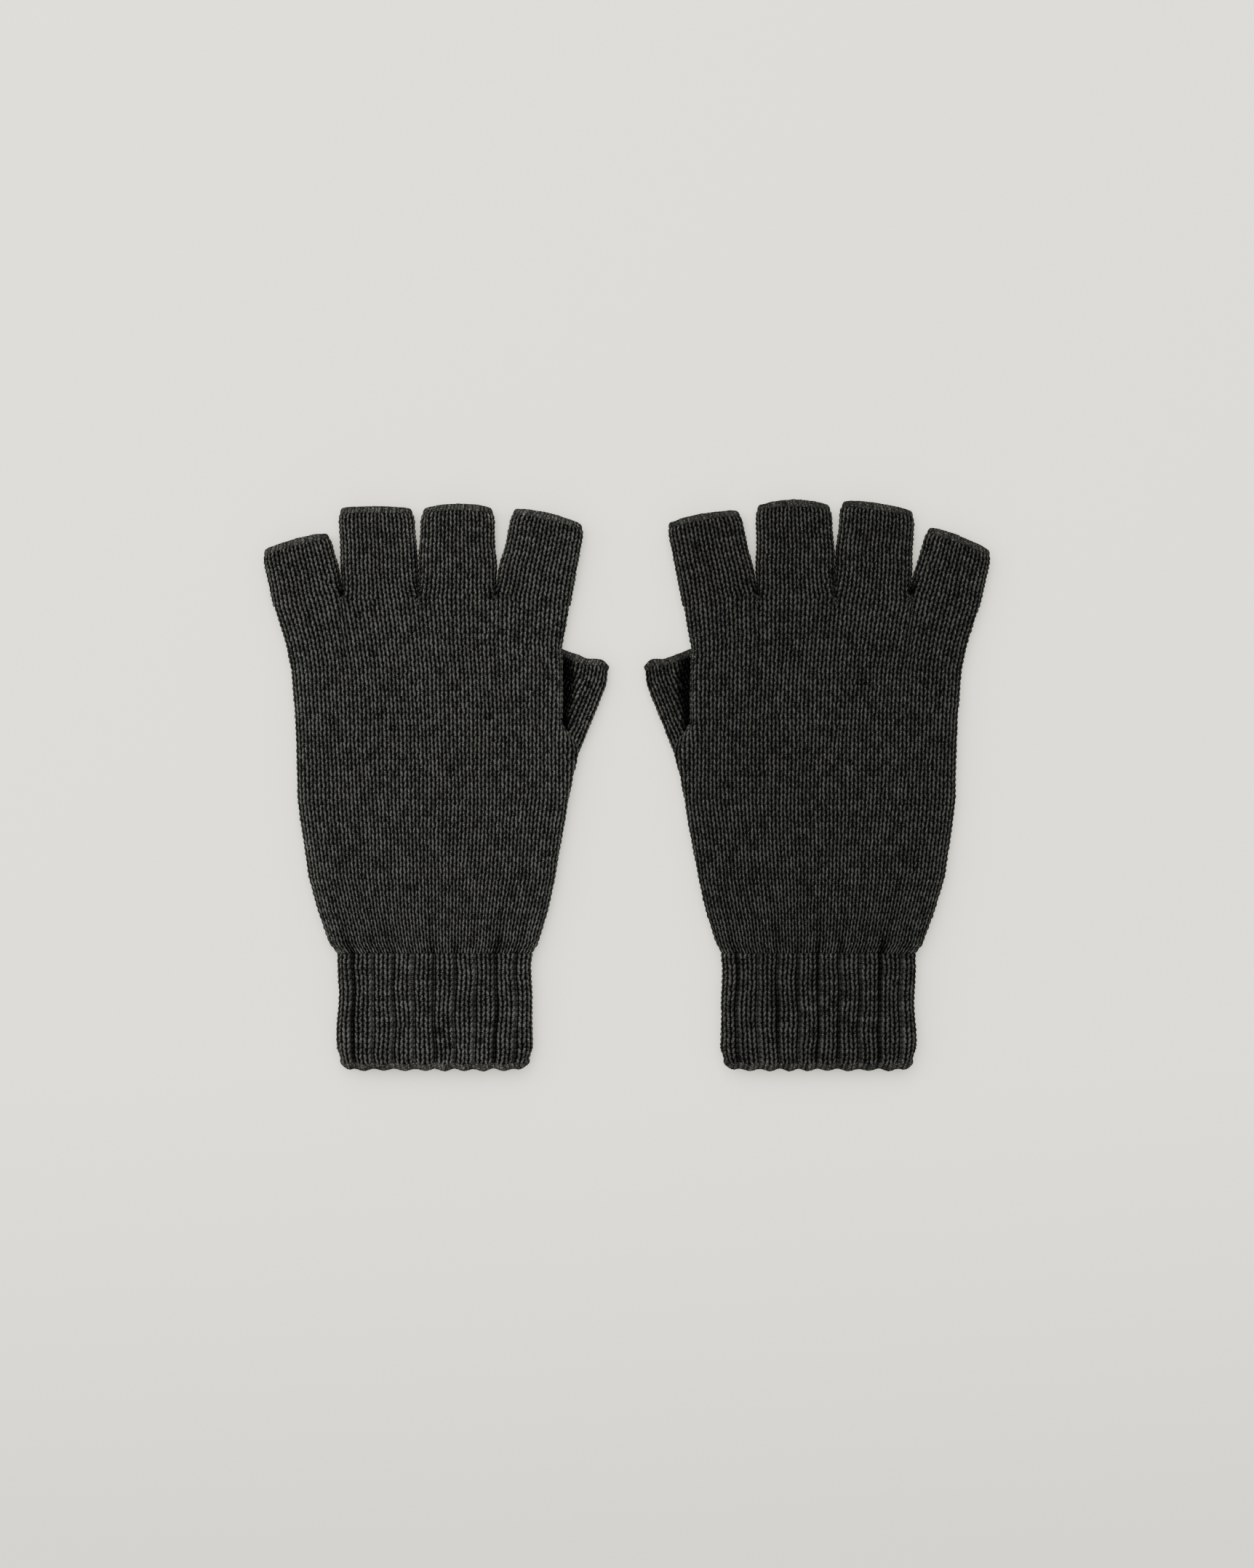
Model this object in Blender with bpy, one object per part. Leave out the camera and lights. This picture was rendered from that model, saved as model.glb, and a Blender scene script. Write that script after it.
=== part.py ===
"""A pair of half-finger knitted gloves, lying palm down with the backs of the hands up.

Each glove is built from its knitted sections: a ribbed cuff with its cast-on edge, the hand, four
finger tubes and a thumb tube with their bound-off rims, and the joining stitches between fingers.
Metres, +Z up, +Y toward the fingertips, +X across the pair. The origin is at the middle of the
pair's box, on the surface the gloves lie on.
"""

from math import atan2, cos, hypot, pi, radians, sin

import bmesh
import bpy
from mathutils import Matrix, Vector

MM = 0.001

# Fabric and how it lies
FABRIC = 1.6 * MM  # one knitted layer
LIE = 9.8 * MM  # height of a tube that lies flat with a hand's room in it
EDGE_ROUND = 4.0 * MM  # rounding of a tube's folded side edges
SEAM = 0.3 * MM  # gap between two sections that are knitted on to each other
TUBE_GAP = 0.5 * MM  # gap on each side of a finger's root

# Cuff
CUFF_LENGTH = 41.0 * MM
CUFF_WIDTH = 70.0 * MM
CUFF_EDGE = 2.2 * MM  # length of the cast-on edge
CUFF_RIBS = 10  # on each face
RIB_DEPTH = 0.7 * MM
EDGE_TUCK = 1.0 * MM  # the cast-on edge draws in at its corners

# Hand: half widths from the glove's centre line, at heights above the wrist
HAND_LENGTH = 125.4 * MM  # wrist to the middle of the knuckle line
LITTLE_SIDE = ((3.5, 37.7), (15.5, 42.2), (27.0, 45.4), (54.0, 48.7), (85.0, 49.7))
THUMB_SIDE = ((3.5, 36.9), (15.5, 40.5), (27.0, 43.2), (54.0, 47.3))
LITTLE_ROOT_X = -57.5 * MM  # outer end of the little finger's root
JOIN_WIDTH = 2.4 * MM  # joining stitches between two fingers
JOIN_LENGTH = 6.0 * MM
JOIN_ROUND = 0.8 * MM

# Fingers, from the little finger to the index: widths, length along the middle, lean from +Y
# toward the thumb, slope of the tip (positive rises toward the thumb)
FINGERS = {
    "left": {
        "little": {"root": 25.0, "tip": 23.6, "length": 20.6, "lean": -13.0, "slope": 15.0},
        "ring": {"root": 26.8, "tip": 25.4, "length": 33.0, "lean": -4.0, "slope": 0.0},
        "middle": {"root": 27.3, "tip": 25.2, "length": 34.2, "lean": 0.0, "slope": 0.0},
        "index": {"root": 26.6, "tip": 25.8, "length": 30.4, "lean": 11.0, "slope": -13.0},
    },
    "right": {
        "little": {"root": 25.0, "tip": 23.4, "length": 21.8, "lean": -14.5, "slope": 21.0},
        "ring": {"root": 26.8, "tip": 25.4, "length": 33.6, "lean": -4.0, "slope": 8.0},
        "middle": {"root": 27.3, "tip": 26.4, "length": 35.4, "lean": 1.0, "slope": 0.0},
        "index": {"root": 26.6, "tip": 26.2, "length": 30.4, "lean": 11.5, "slope": -10.0},
    },
}
RIM = 2.4 * MM  # length of a bound-off rim

# Thumb: its root is round in plan and turns about the root's middle
THUMB_WIDTH = 24.0 * MM
THUMB_LENGTH = 34.0 * MM  # from the root's middle to the end of the rim
THUMB_LEAN = 22.0  # degrees from +Y
THUMB_INSET = 12.3 * MM  # root's middle, inward from the edge of the hand beside it
THUMB_DROP = 51.5 * MM  # root's middle, below the knuckle line
THUMB_IN = 6.0  # degrees of swing toward the palm
THUMB_OUT = 12.0  # degrees of swing away from it
HAND_EDGE_AT_THUMB = 50.5 * MM  # half width of the hand beside the thumb's root
HAND_EDGE_ABOVE_THUMB = 45.3 * MM  # and where the thumb comes out from under it
THUMB_CROTCH = 4.0 * MM  # half the height over which the hand's edge draws in between the two

# The pair
PAIR_GAP = 1.678 * MM  # between the two thumbs' tips, both swung out, with the gloves at rest

# Round shapes
CORNER_STEPS = 4
ARC_STEPS = 18
SHARP_ANGLE = 40.0  # degrees

# Clear of the model on every side, for cutters that pass right through
BEYOND = 40.0 * MM

COLOURS = {
    "plain": (0.030, 0.030, 0.027, 1.0),
    "rib": (0.027, 0.027, 0.025, 1.0),
    "edge": (0.042, 0.042, 0.038, 1.0),
}

WRIST_Y = CUFF_LENGTH
KNUCKLE_Y = WRIST_Y + HAND_LENGTH
THUMB_HEIGHT = LIE - FABRIC - 2 * SEAM  # the thumb lies under the hand's back layer
POCKET_HEIGHT = THUMB_HEIGHT + SEAM


def wool(name, kind):
    """Matt wool of one knitted section."""
    material = bpy.data.materials.new(name)
    material.use_nodes = True
    shader = material.node_tree.nodes["Principled BSDF"]
    shader.inputs["Base Color"].default_value = COLOURS[kind]
    shader.inputs["Roughness"].default_value = 0.95
    shader.inputs["Metallic"].default_value = 0.0
    return material


def rib_wave(depth):
    """Dips between the ribs of one face: share of the width, and how far the surface sinks there."""
    steps = ((-0.30, 0.0), (-0.16, 0.6), (0.0, 1.0), (0.16, 0.6), (0.30, 0.0))
    return [((rib + step) / CUFF_RIBS, share * depth) for rib in range(1, CUFF_RIBS) for step, share in steps]


def section(left, right, low, high, round_radius, wave=()):
    """Closed loop of points round a flat tube, in the upright plane through left and right (in plan)."""
    width = (right - left).length
    along = (right - left) / width
    radius = min(round_radius, (high - low) / 2, width / 2)
    profile = []

    def corner(across, height, start):
        for step in range(CORNER_STEPS + 1):
            angle = start - step * pi / 2 / CORNER_STEPS
            profile.append((across + radius * cos(angle), height + radius * sin(angle)))

    corner(radius, high - radius, pi)
    profile.extend((share * width, high - dip) for share, dip in wave)
    corner(width - radius, high - radius, pi / 2)
    corner(width - radius, low + radius, 0)
    profile.extend((share * width, low + dip) for share, dip in reversed(wave))
    corner(radius, low + radius, -pi / 2)
    return [Vector((*(left + along * across), height)) for across, height in profile]


def inset(left, right, by):
    """The two plan points moved toward each other."""
    step = (right - left).normalized() * by
    return left + step, right - step


def bridge(mesh, first, second):
    """Quads between two rings of the same number of vertices."""
    for index in range(len(first)):
        following = (index + 1) % len(first)
        mesh.faces.new((first[index], first[following], second[following], second[index]))


def add_rings(mesh, rings):
    """Vertices of each ring, with the skin between one ring and the next."""
    verts = [[mesh.verts.new(point) for point in ring] for ring in rings]
    for first, second in zip(verts, verts[1:]):
        bridge(mesh, first, second)
    return verts


def cut(thing, *cutters):
    """Takes the cutters' space out of the object."""
    for cutter in cutters:
        modifier = thing.modifiers.new(cutter.name, "BOOLEAN")
        modifier.operation = "DIFFERENCE"
        modifier.solver = "EXACT"
        modifier.object = cutter


def heading(lean):
    """Plan direction that leans from +Y toward +X by this many degrees, and the one to its right."""
    angle = radians(lean)
    return Vector((sin(angle), cos(angle))), Vector((cos(angle), -sin(angle)))


def at(edge, y):
    """The edge's x at this y. The edge is (y, x) points in order, and runs on straight past its ends."""
    points = sorted(edge)
    spans = list(zip(points, points[1:]))
    (low, first), (high, second) = next((span for span in spans if y <= span[1][0]), spans[-1])
    return first + (second - first) * (y - low) / (high - low)


def between(start, end, distance):
    """The point this far from start toward end."""
    return start + (end - start).normalized() * distance


def empty_at(name, spot, parent=None):
    """An empty that stands at this place in the pair's frame."""
    thing = bpy.data.objects.new(name, None)
    thing.empty_display_size = 10 * MM
    bpy.context.scene.collection.objects.link(thing)
    thing.location = spot
    if parent:
        thing.parent = parent
        thing.location -= parent.location
    return thing


def hang(thing, empty, spot):
    """Gives an object, and what cuts it, its origin on the empty that stands at spot."""
    thing.data.transform(Matrix.Translation(-spot))
    thing.parent = empty
    for modifier in thing.modifiers:
        hang(modifier.object, empty, spot)


class Glove:
    """One glove. Its plan has x from the cuff's middle toward the thumb, and y up from the cast-on edge."""

    def __init__(self, hand, thumb_side):
        self.hand = hand
        self.fingers = FINGERS[hand]
        self.roots = self.finger_roots()
        self.thumb_root = Vector((HAND_EDGE_AT_THUMB - THUMB_INSET, KNUCKLE_Y - THUMB_DROP))
        self.frame = Matrix.Translation((-thumb_side * (self.thumb_reach() + PAIR_GAP / 2), 0, 0))
        self.frame @= Matrix.Diagonal((thumb_side, 1, 1, 1))  # thumb_side is -1 on the mirrored glove
        self.thumb_top = self.thumb_root.y + hypot(THUMB_LENGTH, THUMB_WIDTH / 2) + SEAM

    def finish(self, mesh, piece, kind):
        """The object in its place in the pair, with its faces out. One with no kind is a cutter."""
        name = f"{self.hand}_{piece}"
        bmesh.ops.transform(mesh, matrix=self.frame, verts=mesh.verts)
        bmesh.ops.recalc_face_normals(mesh, faces=mesh.faces)
        data = bpy.data.meshes.new(name)
        mesh.to_mesh(data)
        mesh.free()
        thing = bpy.data.objects.new(name, data)
        bpy.context.scene.collection.objects.link(thing)
        if kind:
            data.materials.append(wool(name, kind))
            data.shade_smooth()
            data.set_sharp_from_angle(angle=radians(SHARP_ANGLE))
        else:
            thing.hide_render = True
            thing.display_type = "WIRE"
        return thing

    def tube(self, piece, kind, stations, height, wave=()):
        """Open tube of fabric. Each station is its left and right edge in plan."""
        smooth = [(share, 0.0) for share, dip in wave]
        lining = [
            section(*inset(*station, FABRIC), FABRIC, height - FABRIC, EDGE_ROUND - FABRIC, smooth)
            for station in stations
        ]
        mesh = bmesh.new()
        outer = add_rings(mesh, [section(*station, 0.0, height, EDGE_ROUND, wave) for station in stations])
        inner = add_rings(mesh, lining)
        bridge(mesh, outer[0], inner[0])
        bridge(mesh, outer[-1], inner[-1])
        return self.finish(mesh, piece, kind)

    def solid(self, piece, kind, rings):
        """Closed solid through the rings."""
        mesh = bmesh.new()
        skin = add_rings(mesh, rings)
        mesh.faces.new(skin[0])
        mesh.faces.new(skin[-1])
        return self.finish(mesh, piece, kind)

    def prism(self, piece, outline, low, high):
        """Upright cutter over a plan outline."""
        rings = [[Vector((*point, height)) for point in outline] for height in (low, high)]
        return self.solid(piece, None, rings)

    def finger_roots(self):
        """Left and right end of each finger's root line, which is square to the finger."""
        roots = {}
        x = LITTLE_ROOT_X
        for finger, size in self.fingers.items():
            width = size["root"] * MM
            across = heading(size["lean"])[1]
            middle = Vector((x + width / 2, KNUCKLE_Y))
            reach = across * (width / 2 / across.x)
            roots[finger] = (middle - reach, middle + reach)
            x += width
        return roots

    def hand_stations(self, low, high):
        """Left and right edge of the hand, from one height in plan to another."""
        half = CUFF_WIDTH / 2
        little_end, index_end = self.roots["little"][0], self.roots["index"][1]
        left = [(0, -half), (WRIST_Y, -half)]
        left += [(WRIST_Y + rise * MM, -out * MM) for rise, out in LITTLE_SIDE]
        left += [(little_end.y, little_end.x)]
        right = [(0, half), (WRIST_Y, half)]
        right += [(WRIST_Y + rise * MM, out * MM) for rise, out in THUMB_SIDE]
        right += [
            (self.thumb_root.y - THUMB_CROTCH, HAND_EDGE_AT_THUMB),
            (self.thumb_root.y + THUMB_CROTCH, HAND_EDGE_ABOVE_THUMB),
            (self.thumb_top, HAND_EDGE_ABOVE_THUMB),
            (index_end.y, index_end.x),
        ]
        heights = sorted({y for y, x in left + right if low < y < high} | {low, high})
        return [(Vector((at(left, y), y)), Vector((at(right, y), y))) for y in heights]

    def make_cuff(self):
        """The ribbed tube and its cast-on edge."""
        half = Vector((CUFF_WIDTH / 2, 0))
        tuck = Vector((EDGE_TUCK, 0))
        wave = rib_wave(RIB_DEPTH)
        start, end = Vector((0, CUFF_EDGE + SEAM)), Vector((0, WRIST_Y - SEAM))
        cuff = self.tube("cuff", "rib", [(start - half, start + half), (end - half, end + half)], LIE, wave)
        start, end = Vector((0, 0)), Vector((0, CUFF_EDGE))
        stations = [(start - half + tuck, start + half - tuck), (end - half, end + half)]
        return cuff, self.tube("cuff_edge", "edge", stations, LIE, wave)

    def make_hand(self):
        """The hand tube, open at the wrist and at the knuckles, with the thumb's pocket under its back."""
        outer = [
            section(*pair, 0.0, LIE, EDGE_ROUND)
            for pair in self.hand_stations(WRIST_Y + SEAM, KNUCKLE_Y + THUMB_CROTCH * 2)
        ]
        inner = [
            section(*inset(*pair, FABRIC), FABRIC, LIE - FABRIC, EDGE_ROUND - FABRIC)
            for pair in self.hand_stations(WRIST_Y - BEYOND, KNUCKLE_Y + BEYOND)
        ]
        hand = self.solid("hand", "plain", outer)
        room = self.solid("room_cutter", None, inner)
        cut(room, self.thumb_wall())
        cut(hand, room, self.thumb_pocket(), self.beyond_knuckles())
        return hand

    def beyond_knuckles(self):
        """Everything past the four root lines."""
        outline = []
        for finger, ends in self.roots.items():
            forward = heading(self.fingers[finger]["lean"])[0]
            outline += [end - forward * SEAM for end in ends]
        outline[0] += outline[0] - outline[1]
        outline[-1] += outline[-1] - outline[-2]
        top = KNUCKLE_Y + BEYOND
        outline += [Vector((outline[-1].x, top)), Vector((outline[0].x, top))]
        return self.prism("knuckle_cutter", outline, -BEYOND, LIE + BEYOND)

    def thumb_side_line(self, side, swing, clearance):
        """Where the thumb's left (-1) or right (+1) edge starts at its root, and its heading, when swung."""
        forward, across = heading(THUMB_LEAN + swing)
        return self.thumb_root + across * side * (THUMB_WIDTH / 2 + clearance), forward

    def thumb_reach(self):
        """How far out from the glove's centre line the thumb's tip comes, swung out."""
        edge, forward = self.thumb_side_line(1, THUMB_OUT, 0.0)
        return (edge + forward * THUMB_LENGTH).x

    def root_arc(self, first_swing, last_swing, clearance):
        """Points round the thumb's root from its left edge at one swing to its right edge at another."""
        first = self.thumb_side_line(-1, first_swing, clearance)[0] - self.thumb_root
        last = self.thumb_side_line(1, last_swing, clearance)[0] - self.thumb_root
        start = atan2(first.y, first.x) % (2 * pi)
        turn = atan2(last.y, last.x) % (2 * pi) - start
        angles = [start + turn * step / ARC_STEPS for step in range(ARC_STEPS + 1)]
        return [self.thumb_root + Vector((cos(angle), sin(angle))) * first.length for angle in angles]

    def thumb_pocket(self):
        """Space under the back layer that the thumb takes up over its whole swing."""
        outline = self.root_arc(-THUMB_IN, THUMB_OUT, SEAM)
        outline.append(outline[-1] + heading(THUMB_LEAN + THUMB_OUT)[0] * THUMB_WIDTH / 2)
        outline.append(outline[-1] + Vector((BEYOND, 0)))
        outline.append(Vector((outline[-1].x, self.thumb_top)))
        outline.append(self.left_at_top(SEAM, self.thumb_top))
        return self.prism("pocket_cutter", outline, -BEYOND, POCKET_HEIGHT)

    def left_at_top(self, clearance, top):
        """Where the thumb's left edge, swung in, comes up to this height in plan."""
        start, forward = self.thumb_side_line(-1, -THUMB_IN, clearance)
        return start + forward * ((top - start.y) / forward.y)

    def thumb_wall(self):
        """Where the palm layer turns up beside the thumb, the hand has no room inside."""
        top = self.thumb_top + FABRIC
        left = self.thumb_side_line(-1, -THUMB_IN, SEAM + FABRIC)[0]
        right = self.thumb_side_line(1, THUMB_OUT, SEAM + FABRIC)[0]
        far = right.x + BEYOND
        outline = [left, right, Vector((far, right.y)), Vector((far, top)), self.left_at_top(SEAM + FABRIC, top)]
        return self.prism("wall_cutter", outline, -BEYOND, LIE + BEYOND)

    def make_joins(self):
        """Joining stitches between neighbouring fingers, from the palm layer to the back layer."""
        fingers = list(self.roots)
        half = Vector((JOIN_WIDTH / 2, 0))
        joins = []
        for first, second in zip(fingers, fingers[1:]):
            end, start = self.roots[first][1], self.roots[second][0]
            top = Vector((end.x, min(end.y, start.y) - 2 * SEAM))
            foot = top - Vector((0, JOIN_LENGTH))
            rings = [
                section(spot - half, spot + half, FABRIC + SEAM, LIE - FABRIC - SEAM, JOIN_ROUND)
                for spot in (foot, top)
            ]
            joins.append(self.solid(f"join_{first}_{second}", "edge", rings))
        return joins

    def make_finger(self, finger):
        """A finger tube and the bound-off rim at its tip."""
        size = self.fingers[finger]
        slope = radians(size["slope"])
        root = self.roots[finger]
        base = inset(*root, TUBE_GAP)
        tip_middle = (root[0] + root[1]) / 2 + heading(size["lean"])[0] * size["length"] * MM
        tip_half = Vector((cos(slope), sin(slope))) * size["tip"] * MM / 2
        tip = (tip_middle - tip_half, tip_middle + tip_half)
        rim_start = [between(end, start, RIM) for start, end in zip(base, tip)]
        tube_end = [between(end, start, RIM + SEAM) for start, end in zip(base, tip)]
        tube = self.tube(finger, "plain", [base, tube_end], LIE)
        return tube, self.tube(f"{finger}_rim", "edge", [rim_start, tip], LIE)

    def thumb_station(self, distance, wider=0.0):
        """Left and right edge of the thumb, this far along it from its root's middle."""
        forward, across = heading(THUMB_LEAN)
        middle = self.thumb_root + forward * distance
        half = across * (THUMB_WIDTH / 2 + wider)
        return middle - half, middle + half

    def make_thumb(self):
        """The thumb tube, round in plan at its root, and its rim."""
        ends = (-THUMB_WIDTH / 2 - SEAM, THUMB_LENGTH - RIM - SEAM)
        outer = [section(*self.thumb_station(end), 0.0, THUMB_HEIGHT, EDGE_ROUND) for end in ends]
        inner = [
            section(*self.thumb_station(end, -FABRIC), FABRIC, THUMB_HEIGHT - FABRIC, EDGE_ROUND - FABRIC)
            for end in (-BEYOND, BEYOND + THUMB_LENGTH)
        ]
        thumb = self.solid("thumb", "plain", outer)
        far_left, far_right = self.thumb_station(-THUMB_WIDTH, BEYOND)
        left, right = self.thumb_station(0.0, BEYOND)
        round_root = [*self.root_arc(0.0, 0.0, 0.0), right, far_right, far_left, left]
        cut(
            thumb,
            self.prism("root_cutter", round_root, -BEYOND, LIE + BEYOND),
            self.solid("bore_cutter", None, inner),
        )
        rim = [self.thumb_station(THUMB_LENGTH - RIM), self.thumb_station(THUMB_LENGTH)]
        return thumb, self.tube("thumb_rim", "edge", rim, THUMB_HEIGHT)

    def build(self):
        """All pieces. Each body hangs on an empty that stands on its joint's axis."""
        wrist = Vector((0, WRIST_Y, LIE))
        bodies = {
            "cuff": (wrist, self.make_cuff()),
            "thumb": (Vector((*self.thumb_root, 0)), self.make_thumb()),
        }
        for finger, (left, right) in self.roots.items():
            bodies[finger] = (Vector((*(left + right) / 2, LIE)), self.make_finger(finger))
        glove = empty_at(f"{self.hand}_glove", self.frame.translation)
        for thing in (self.make_hand(), *self.make_joins()):
            hang(thing, glove, self.frame.translation)
        for body, (spot, things) in bodies.items():
            axis = empty_at(f"{self.hand}_{body}_axis", self.frame @ spot, glove)
            for thing in things:
                hang(thing, axis, self.frame @ spot)
        return glove


def centre(gloves):
    """Moves the pair so that the middle of its box stands over the origin."""
    bpy.context.view_layer.update()
    corners = [
        thing.matrix_world @ Vector(corner)
        for thing in bpy.data.objects
        if thing.type == "MESH" and not thing.hide_render
        for corner in thing.bound_box
    ]
    for axis in (0, 1):
        values = [corner[axis] for corner in corners]
        for glove in gloves:
            glove.location[axis] -= (min(values) + max(values)) / 2


def main():
    for thing in list(bpy.data.objects):
        bpy.data.objects.remove(thing, do_unlink=True)
    centre([Glove("left", 1).build(), Glove("right", -1).build()])


main()
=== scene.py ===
"""A pair of half-finger gloves knitted in charcoal melange wool, lying palm down.

Each glove is knitted section by section: the ribbed cuff with its cast-on edge, the hand, four finger
tubes and a thumb tube with their bound-off rims, and the joining stitches between the fingers. Every
knit stitch has its own two legs of yarn in the mesh. Metres, +Z up, +Y toward the fingertips.
"""

from __future__ import annotations

import logging
from collections.abc import Callable, Sequence
from dataclasses import dataclass, field
from enum import Enum
from math import cos, hypot, pi, radians, sin

import bpy
import numpy as np
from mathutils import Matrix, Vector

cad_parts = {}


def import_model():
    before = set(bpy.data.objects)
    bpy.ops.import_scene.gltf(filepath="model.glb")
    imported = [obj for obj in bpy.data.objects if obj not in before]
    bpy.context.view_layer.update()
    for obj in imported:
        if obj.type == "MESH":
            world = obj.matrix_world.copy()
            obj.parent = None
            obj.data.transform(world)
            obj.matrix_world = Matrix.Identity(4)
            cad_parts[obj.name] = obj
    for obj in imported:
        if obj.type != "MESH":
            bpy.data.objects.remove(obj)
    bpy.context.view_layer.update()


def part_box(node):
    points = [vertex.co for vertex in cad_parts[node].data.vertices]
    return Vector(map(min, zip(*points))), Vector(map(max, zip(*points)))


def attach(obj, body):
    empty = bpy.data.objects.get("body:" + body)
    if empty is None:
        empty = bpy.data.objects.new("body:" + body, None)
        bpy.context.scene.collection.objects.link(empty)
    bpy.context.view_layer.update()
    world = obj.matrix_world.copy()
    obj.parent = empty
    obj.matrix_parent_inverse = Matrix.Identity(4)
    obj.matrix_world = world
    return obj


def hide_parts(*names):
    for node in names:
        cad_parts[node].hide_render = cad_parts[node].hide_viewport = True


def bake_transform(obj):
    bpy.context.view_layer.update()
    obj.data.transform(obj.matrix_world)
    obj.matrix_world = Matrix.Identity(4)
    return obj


MM = 0.001
LOG = logging.getLogger("gloves")
Array = np.ndarray
Point = tuple[float, float, float]


class Side(Enum):
    """Which hand a glove is for."""

    LEFT = "left"
    RIGHT = "right"


# ---------------------------------------------------------------- finishes


def linear(hex_colour: str) -> tuple[float, float, float, float]:
    """Linear RGBA of an sRGB hex colour."""
    parts = [int(hex_colour[start : start + 2], 16) / 255 for start in (1, 3, 5)]
    return (*(v / 12.92 if v <= 0.04045 else ((v + 0.055) / 1.055) ** 2.4 for v in parts), 1.0)


def add_node(tree: bpy.types.NodeTree, kind: str, settings: dict | None = None, links: dict | None = None):
    """Adds one node.

    Args:
        tree: The node tree that takes it.
        kind: Its type name, without the ShaderNode in front.
        settings: Attributes by name, or socket values by the socket's name or number.
        links: Sockets to link from, by the name or number of the input that each goes to.

    Returns:
        The node.
    """
    node = tree.nodes.new(f"ShaderNode{kind}")
    for name, value in (settings or {}).items():
        if isinstance(name, str) and hasattr(node, name):
            setattr(node, name, value)
        else:
            node.inputs[name].default_value = value
    for name, socket in (links or {}).items():
        tree.links.new(socket, node.inputs[name])
    return node


@dataclass(frozen=True)
class WoolFinish:
    """Machine-knitted lambswool in a charcoal melange: dark and light fibres carded together and
    plied, which gives the eye a matt near-black with grey flecks on every leg of yarn."""

    name: str
    slot: str
    # the colour painted deep between the yarns, as painted shade
    gap: str = "#010101"
    dark_leg: str = "#171716"
    light_leg: str = "#494946"
    fleck: str = "#6c6c67"
    fleck_range: tuple[float, float] = (0.50, 0.71)  # the fibre noise that turns to a fleck
    tone_spread: float = 0.42  # how far one leg's tone may be from the next one's
    fibre: float = 0.22 * MM  # length over which the carded colours change
    nap: float = 0.12 * MM  # how far the plies and the stray fibres stand up
    mottle: float = 3.4 * MM  # patches where one colour of fibre collects
    patchiness: float = 0.42
    ply_turns: float = 2.6  # turns of the two plies along one leg
    ply_slant: float = 0.9  # turns of the two plies across one leg
    ply_groove_shade: float = 0.30  # how much shade is painted into the groove between the plies
    shade_range: tuple[float, float] = (0.14, 0.70)  # from the darkest fibres to the lightest
    rise_range: tuple[float, float] = (0.16, 0.80)  # painted shade: from yarn painted as if in the dark to yarn painted as if in full light

    def make(self, painted_light: float) -> bpy.types.Material:
        """Builds the material.

        Args:
            painted_light: How much light is painted onto this glove's yarn beside the other's; below 1 the
                whole glove is painted in shade.

        Returns:
            The material.
        """
        material = bpy.data.materials.new(self.name)
        material.use_nodes = True
        tree = material.node_tree
        shader = tree.nodes["Principled BSDF"]
        stitches = add_node(tree, "UVMap", {"uv_map": STITCH_MAP})
        place = add_node(tree, "SeparateXYZ", None, {0: stitches.outputs[0]})
        leg = add_node(tree, "Math", {"operation": "MULTIPLY", 1: 2.0}, {0: place.outputs[0]})
        leg_number = add_node(tree, "Math", {"operation": "FLOOR"}, {0: leg.outputs[0]})
        row_number = add_node(tree, "Math", {"operation": "FLOOR"}, {0: place.outputs[1]})
        cell = add_node(tree, "CombineXYZ", None, {0: leg_number.outputs[0], 1: row_number.outputs[0]})
        leg_tone = add_node(tree, "TexWhiteNoise", {"noise_dimensions": "2D"}, {0: cell.outputs[0]})

        spot = add_node(tree, "TexCoord")
        fibres = add_node(
            tree,
            "TexNoise",
            {"Scale": 1 / self.fibre / 2, "Detail": 2.0, "Roughness": 0.6},
            {"Vector": spot.outputs["Object"]},
        )
        patches = add_node(
            tree,
            "TexNoise",
            {"Scale": 1 / self.mottle, "Detail": 3.0, "Roughness": 0.65},
            {"Vector": spot.outputs["Object"]},
        )
        twist = self.ply(tree, leg.outputs[0], place.outputs[1])

        shade = add_node(
            tree, "Math", {"operation": "MULTIPLY", 1: self.tone_spread}, {0: leg_tone.outputs["Value"]}
        )
        shade = add_node(
            tree,
            "Math",
            {"operation": "MULTIPLY_ADD", 1: self.patchiness},
            {0: patches.outputs[0], 2: shade.outputs[0]},
        )
        shade_share = self.ramp(tree, shade.outputs[0], *self.shade_range)
        body = self.mixed(tree, self.dark_leg, self.light_leg, shade_share)
        flecks = self.ramp(tree, fibres.outputs[0], *self.fleck_range)
        flecked = add_node(
            tree,
            "Mix",
            {"data_type": "RGBA", 7: linear(self.fleck)},
            {0: flecks, 6: body},
        )
        # Painted shade: the colour darkens toward the gap colour where the yarn's rise is low, deep
        # between the yarns
        height = add_node(tree, "Attribute", {"attribute_name": RISE_AND_SHADE})
        rise_painted_light = self.ramp(tree, height.outputs["Fac"], *self.rise_range)
        # Painted shade in the groove between the plies
        ply_painted_light = add_node(
            tree,
            "Math",
            {"operation": "MULTIPLY_ADD", 1: self.ply_groove_shade, 2: 1 - self.ply_groove_shade},
            {0: twist},
        )
        lit = add_node(tree, "Math", {"operation": "MULTIPLY"}, {0: rise_painted_light, 1: ply_painted_light.outputs[0]})
        # Painted shade: the whole glove's yarn is darkened by how much light is painted onto it
        glove_painted_light = add_node(tree, "Math", {"operation": "MULTIPLY", 1: painted_light}, {0: lit.outputs[0]})
        colour = add_node(
            tree,
            "Mix",
            {"data_type": "RGBA", 6: linear(self.gap)},
            {0: glove_painted_light.outputs[0], 7: flecked.outputs[2]},
        )
        tree.links.new(colour.outputs[2], shader.inputs["Base Color"])

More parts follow.
